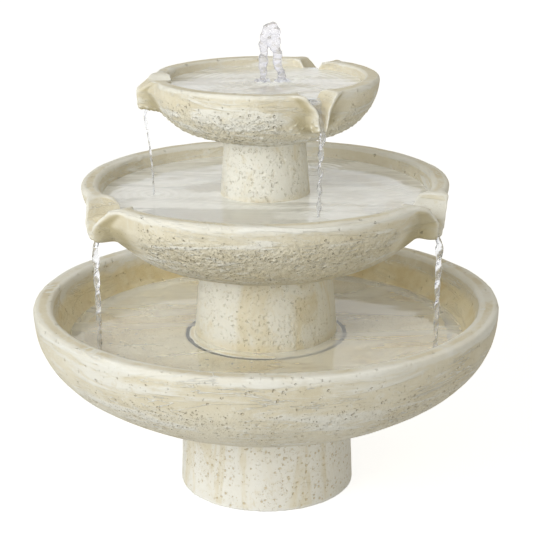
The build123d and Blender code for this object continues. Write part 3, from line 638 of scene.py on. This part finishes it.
def pool(name, water, level, bed, springs, swell, rings, spokes):
    """Water standing in a bowl: a rippled top, and a bed just inside the stone.

    bed is (radius, z) from the waterline down; a spring is (x, y, height, wavelength)."""
    top_r = bed[0][0]
    ring_reach = 0.07
    mesh = bmesh.new()
    rows = []
    for i in range(1, rings + 1):
        radius = top_r * i / rings
        row = []
        for k in range(spokes):
            point = polar(radius, 360.0 * k / spokes, level)
            lift = swell * noise.noise(Vector((point.x * 9, point.y * 22, level * 7)))
            for x, y, height, wave in springs:
                away = math.hypot(point.x - x, point.y - y)
                lift += height * math.exp(-away / ring_reach) * math.cos(away / wave * 2 * math.pi)
            point.z += lift * min(1.0, (rings - i) / 4)
            row.append(mesh.verts.new(point))
        rows.append(row)
    for radius, z in bed[1:]:
        rows.append([mesh.verts.new(polar(radius, 360.0 * k / spokes, z)) for k in range(spokes)])
    for inner, outer in zip(rows, rows[1:]):
        for k in range(spokes):
            n = (k + 1) % spokes
            mesh.faces.new((inner[k], outer[k], outer[n], inner[n]))
    centre = mesh.verts.new((0, 0, level))
    low = mesh.verts.new((0, 0, bed[-1][1]))
    for k in range(spokes):
        n = (k + 1) % spokes
        mesh.faces.new((centre, rows[0][k], rows[0][n]))
        mesh.faces.new((low, rows[-1][n], rows[-1][k]))
    bmesh.ops.recalc_face_normals(mesh, faces=mesh.faces)
    data = bpy.data.meshes.new(name)
    mesh.to_mesh(data)
    mesh.free()
    for face in data.polygons:
        face.use_smooth = True
    data.materials.append(water)
    piece = linked(name, data)
    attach(piece, "fountain")
    return piece


lower_level = 0.348
middle_level = 0.655
top_level = 0.888
lower_springs = [(*polar(0.398, a, 0)[:2], 0.0016, 0.022) for a in middle_angles]
middle_springs = [(*polar(0.238, a, 0)[:2], 0.0014, 0.018) for a in top_angles]
top_springs = [(-0.004, 0.012, 0.002, 0.016), (0.037, 0.010, 0.002, 0.016)]
pool(
    "lower_pool", clear_water("lower_water", ripple=0.0012, per_metre=6.0, painted_reflection_share=0.30), lower_level,
    bed=[(0.4275, lower_level), (0.383, 0.329), (0.30, 0.325), (0.177, 0.324), (0.173, 0.311),
         (0.124, 0.310), (0.120, 0.228)],
    springs=lower_springs, swell=0.0007, rings=90, spokes=200,
)
pool(
    "middle_pool", clear_water("middle_water", ripple=0.0012, per_metre=7.0, painted_reflection_share=0.70), middle_level,
    bed=[(0.347, middle_level), (0.327, 0.615), (0.278, 0.584), (0.19, 0.573), (0.05, 0.572)],
    springs=middle_springs, swell=0.0007, rings=80, spokes=180,
)
pool(
    "top_pool", clear_water("top_water", ripple=0.0014, per_metre=10.0, painted_reflection_share=0.66), top_level,
    bed=[(0.206, top_level), (0.187, 0.857), (0.153, 0.842), (0.10, 0.835), (0.03, 0.834)],
    springs=top_springs, swell=0.0006, rings=60, spokes=150,
)

# ---------------------------------------------------------------------------
# Spilling water: a film slides down each spout, leaves its tip and falls as a
# twisted thread, which the pull of its own surface winds up and pinches.
# ---------------------------------------------------------------------------
thread_tint = (0.84, 0.85, 0.88, 1)
thread_water = clear_water("thread_water", ripple=0.0012, per_metre=120.0, painted_reflection_share=0.05, tint=thread_tint)


def thread(name, node, angle, film, fall_to, land_r, girth, turns, seed):
    """A film in the spout's channel and the thread that falls from its tip.

    film is (radius, z, half width, half thickness) from the bowl to the tip; girth is
    the thread's half width at the tip and where it lands."""
    sides = 14
    stations = []
    for r, z, wide, thick in film:
        stations.append((polar(r, angle, z), wide, thick, 0.0))
    tip_r, tip_z = film[-1][0], film[-1][1]
    drop = tip_z - fall_to
    steps = 70
    for i in range(1, steps + 1):
        share = i / steps
        z = tip_z - drop * share
        r = tip_r + (land_r - tip_r) * (1 - (1 - share) ** 2)
        sway = 0.0012 * noise.noise(Vector((seed, share * 5, 0)))
        centre = polar(r, angle, z) + Vector((sway, sway * 0.7, 0))
        pinch = 1.0 + 0.28 * math.sin(share * turns * 2 * math.pi + seed) * min(1, share * 3)
        body = (girth[0] + (girth[1] - girth[0]) * math.sqrt(share)) * pinch
        flat = 0.5 + 0.25 * noise.noise(Vector((seed, share * 9, 2)))
        stations.append((centre, body, body * flat, share * turns * math.pi))
    mesh = bmesh.new()
    rows = []
    across = polar(1.0, angle + 90, 0)
    for i, (centre, wide, thick, twist) in enumerate(stations):
        ahead = stations[min(i + 1, len(stations) - 1)][0] - stations[max(i - 1, 0)][0]
        ahead.normalize()
        side = across - ahead * across.dot(ahead)
        side.normalize()
        up = ahead.cross(side)
        row = []
        for k in range(sides):
            turn = 2 * math.pi * k / sides
            flat = Vector((wide * math.cos(turn), thick * math.sin(turn)))
            u = flat.x * math.cos(twist) - flat.y * math.sin(twist)
            v = flat.x * math.sin(twist) + flat.y * math.cos(twist)
            row.append(mesh.verts.new(centre + side * u + up * v))
        rows.append(row)
    for first, second in zip(rows, rows[1:]):
        for k in range(sides):
            n = (k + 1) % sides
            mesh.faces.new((first[k], first[n], second[n], second[k]))
    mesh.faces.new(rows[0])
    mesh.faces.new(list(reversed(rows[-1])))
    bmesh.ops.recalc_face_normals(mesh, faces=mesh.faces)
    data = bpy.data.meshes.new(name)
    mesh.to_mesh(data)
    mesh.free()
    data.materials.append(thread_water)
    piece = linked(name, data)
    smoother = piece.modifiers.new("smoother", "SUBSURF")
    smoother.levels = 1
    smoother.render_levels = 1
    settled(piece)
    for face in piece.data.polygons:
        face.use_smooth = True
    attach(piece, "fountain")
    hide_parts(node)
    return piece


middle_film = [
    (0.318, 0.652, 0.030, 0.0030), (0.345, 0.6535, 0.030, 0.0040), (0.360, 0.650, 0.026, 0.0035),
    (0.374, 0.640, 0.020, 0.0032), (0.384, 0.624, 0.013, 0.0034), (0.392, 0.607, 0.009, 0.0045),
    (0.398, 0.594, 0.008, 0.0055),
]
top_film = [
    (0.184, 0.885, 0.020, 0.0024), (0.205, 0.8865, 0.020, 0.0032), (0.219, 0.883, 0.017, 0.0030),
    (0.229, 0.874, 0.012, 0.0026), (0.238, 0.856, 0.008, 0.0028), (0.246, 0.838, 0.006, 0.0034),
    (0.2505, 0.826, 0.005, 0.0040),
]
for label, angle, seed in zip(("left", "right", "back"), middle_angles, (1.0, 2.3, 4.1)):
    thread(
        "middle_spill_" + label, "middle_stream_" + label, angle, middle_film,
        fall_to=lower_level - 0.002, land_r=0.396, girth=(0.0105, 0.0060), turns=6.0, seed=seed,
    )
for label, angle, seed in zip(("front_right", "back_right", "left"), top_angles, (5.2, 6.6, 8.0)):
    slim = 0.6 if label == "left" else 1.0
    girth = (0.0075 * slim, 0.0045 * slim)
    thread(
        "top_spill_" + label, "top_stream_" + label, angle, top_film,
        fall_to=middle_level - 0.002, land_r=0.236, girth=girth, turns=5.0, seed=seed,
    )

# ---------------------------------------------------------------------------
# Jet: the pump's column rises from the nozzle in lumps, bends over at its
# crest and falls back beside itself, with bubbles where it meets the pool.
# ---------------------------------------------------------------------------
jet_tint = (0.80, 0.795, 0.84, 1)
jet_water = clear_water("jet_water", ripple=0.0026, per_metre=130.0, painted_reflection_share=0.14, tint=jet_tint)
feet = (Vector((-0.004, 0.012, top_level)), Vector((0.037, 0.010, top_level)))
crest = 1.013
blobs = bmesh.new()


def drop_at(centre, radius):
    """One ball of the jet."""
    made = bmesh.ops.create_icosphere(blobs, subdivisions=2, radius=radius)
    bmesh.ops.translate(blobs, verts=made["verts"], vec=centre)


def wobble(at, way, size):
    """An uneven offset that changes slowly along the jet."""
    return size * noise.noise(Vector((at * 80.0, way, 0.5)))


def column(foot, head, stout, way):
    """A lumpy rope of water from one point to another."""
    ball_spacing = 0.0028
    steps = int((head - foot).length / ball_spacing)
    for i in range(steps + 1):
        centre = foot.lerp(head, i / steps)
        at = centre.z
        sway = Vector((wobble(at, way, 0.005), wobble(at, way + 4, 0.006), 0))
        drop_at(centre + sway, stout + wobble(at * 1.6, way + 9, 0.0042))


rise = Vector((0, 0, 1))
left_foot, right_foot = feet
left_hip = left_foot + Vector((0.003, 0, 0.072))
right_hip = right_foot + Vector((-0.013, 0, 0.072))
column(left_foot, left_hip, 0.0078, 1)
column(right_foot, right_hip, 0.0080, 14)
left_head = Vector((0.004, 0.012, crest - 0.013))
right_head = Vector((0.019, 0.011, crest - 0.010))
column(left_hip, left_head, 0.0098, 3)
column(right_hip, right_head, 0.0105, 17)
column((left_hip + right_hip) / 2 + rise * 0.006, (left_head + right_head) / 2, 0.0092, 7)
bubbles = 11
for foot in feet:
    for i in range(bubbles):
        turn = 2 * math.pi * i / bubbles
        around = Vector((0.013 * math.cos(turn), 0.012 * math.sin(turn), 0.001))
        drop_at(foot + around, 0.0045 + wobble(i * 0.1, 3, 0.003))
data = bpy.data.meshes.new("jet")
blobs.to_mesh(data)
blobs.free()
jet = linked("jet", data)
skin = jet.modifiers.new("skin", "REMESH")
skin.mode = "VOXEL"
skin.voxel_size = 0.0013
soften = jet.modifiers.new("soften", "SMOOTH")
soften.iterations = 4
settled(jet)
for face in jet.data.polygons:
    face.use_smooth = True
jet.data.materials.clear()
jet.data.materials.append(jet_water)
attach(jet, "fountain")
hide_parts("water_jet")

# ---------------------------------------------------------------------------
# Studio: a white floor, a broad lamp from the upper left, a weak lamp from the
# front, and a pale room.
# ---------------------------------------------------------------------------
floor_finish = bpy.data.materials.new("studio_floor")
floor_finish.use_nodes = True
floor_shader = floor_finish.node_tree.nodes["Principled BSDF"]
floor_shader.inputs["Base Color"].default_value = (0.62, 0.62, 0.62, 1)
floor_shader.inputs["Emission Color"].default_value = (1, 1, 1, 1)
bounced = wire(floor_finish.node_tree, "ShaderNodeLightPath").outputs["Is Diffuse Ray"]
glow = sums(floor_finish.node_tree, "MULTIPLY_ADD", bounced, -0.67, 0.72)
floor_finish.node_tree.links.new(glow, floor_shader.inputs["Emission Strength"])
floor_shader.inputs["Roughness"].default_value = 0.9
floor_mesh = bpy.data.meshes.new("studio_floor")
reach = 30.0
floor_corners = [(-reach, -reach, 0), (reach, -reach, 0), (reach, reach, 0), (-reach, reach, 0)]
floor_mesh.from_pydata(floor_corners, [], [(0, 1, 2, 3)])
floor_mesh.materials.append(floor_finish)
studio_floor = linked("studio_floor", floor_mesh)
studio_floor.location.z = -0.0005


def lamp(name, place, target, size, power, tint):
    """A round soft lamp turned to its target."""
    light = bpy.data.lights.new(name, "AREA")
    light.shape = "DISK"
    light.size = size
    light.energy = power
    light.color = tint
    holder = bpy.data.objects.new(name, light)
    holder.location = place
    holder.rotation_euler = (Vector(target) - Vector(place)).to_track_quat("-Z", "Y").to_euler()
    bpy.context.scene.collection.objects.link(holder)


lit_point = (0, 0, 0.5)
lamp("key", (-2.9, -2.9, 2.3), lit_point, size=2.6, power=98, tint=(0.96, 0.985, 1.0))
lamp("fill", (-0.6, -4.2, 1.3), lit_point, size=2.4, power=26, tint=(1.0, 0.99, 0.95))

world = bpy.data.worlds.new("studio_room")
bpy.context.scene.world = world
world.use_nodes = True
room = world.node_tree
room_light = room.nodes["Background"]
paths = wire(room, "ShaderNodeLightPath").outputs
way = wire(room, "ShaderNodeTexCoord").outputs["Generated"]
sideways = sums(room, "ABSOLUTE", wire(room, "ShaderNodeSeparateXYZ", {0: way}).outputs["X"])
mirrored = ramped(room, sideways, 0.45, 0.85, 1.0, 0.2)
mirrored = sums(room, "MAXIMUM", mirrored, paths["Is Camera Ray"])
room_tint = blend_of(room, paths["Is Diffuse Ray"], (1, 1, 1, 1), (1.0, 0.95, 0.80, 1))
room.links.new(room_tint, room_light.inputs["Color"])
diffuse_share = sums(room, "MULTIPLY", paths["Is Diffuse Ray"], 0.50)
others = sums(room, "MULTIPLY", sums(room, "SUBTRACT", 1.0, paths["Is Diffuse Ray"]), mirrored)
room.links.new(sums(room, "ADD", diffuse_share, others), room_light.inputs["Strength"])

# ---------------------------------------------------------------------------
# Camera: a little over rim height, looking slightly down on the bowls.
# ---------------------------------------------------------------------------
lens = bpy.data.cameras.new("camera")
lens.sensor_width = 36.0
lens.lens = 104.7
viewer = bpy.data.objects.new("camera", lens)
bpy.context.scene.collection.objects.link(viewer)
pitch = math.radians(17.18)
yaw = math.radians(0.79)
roll = math.radians(-0.32)
forward = Vector((math.sin(yaw) * math.cos(pitch), math.cos(yaw) * math.cos(pitch), -math.sin(pitch)))
right = Vector((math.cos(yaw), -math.sin(yaw), 0))
up = right.cross(forward)
level_right = right * math.cos(roll) + up * math.sin(roll)
level_up = up * math.cos(roll) - right * math.sin(roll)
stance = Matrix((level_right, level_up, -forward)).transposed().to_4x4()
stance.translation = Vector((-0.0422, -3.188, 1.474))
viewer.matrix_world = stance
bpy.context.scene.camera = viewer
bpy.context.scene.view_settings.view_transform = "Standard"
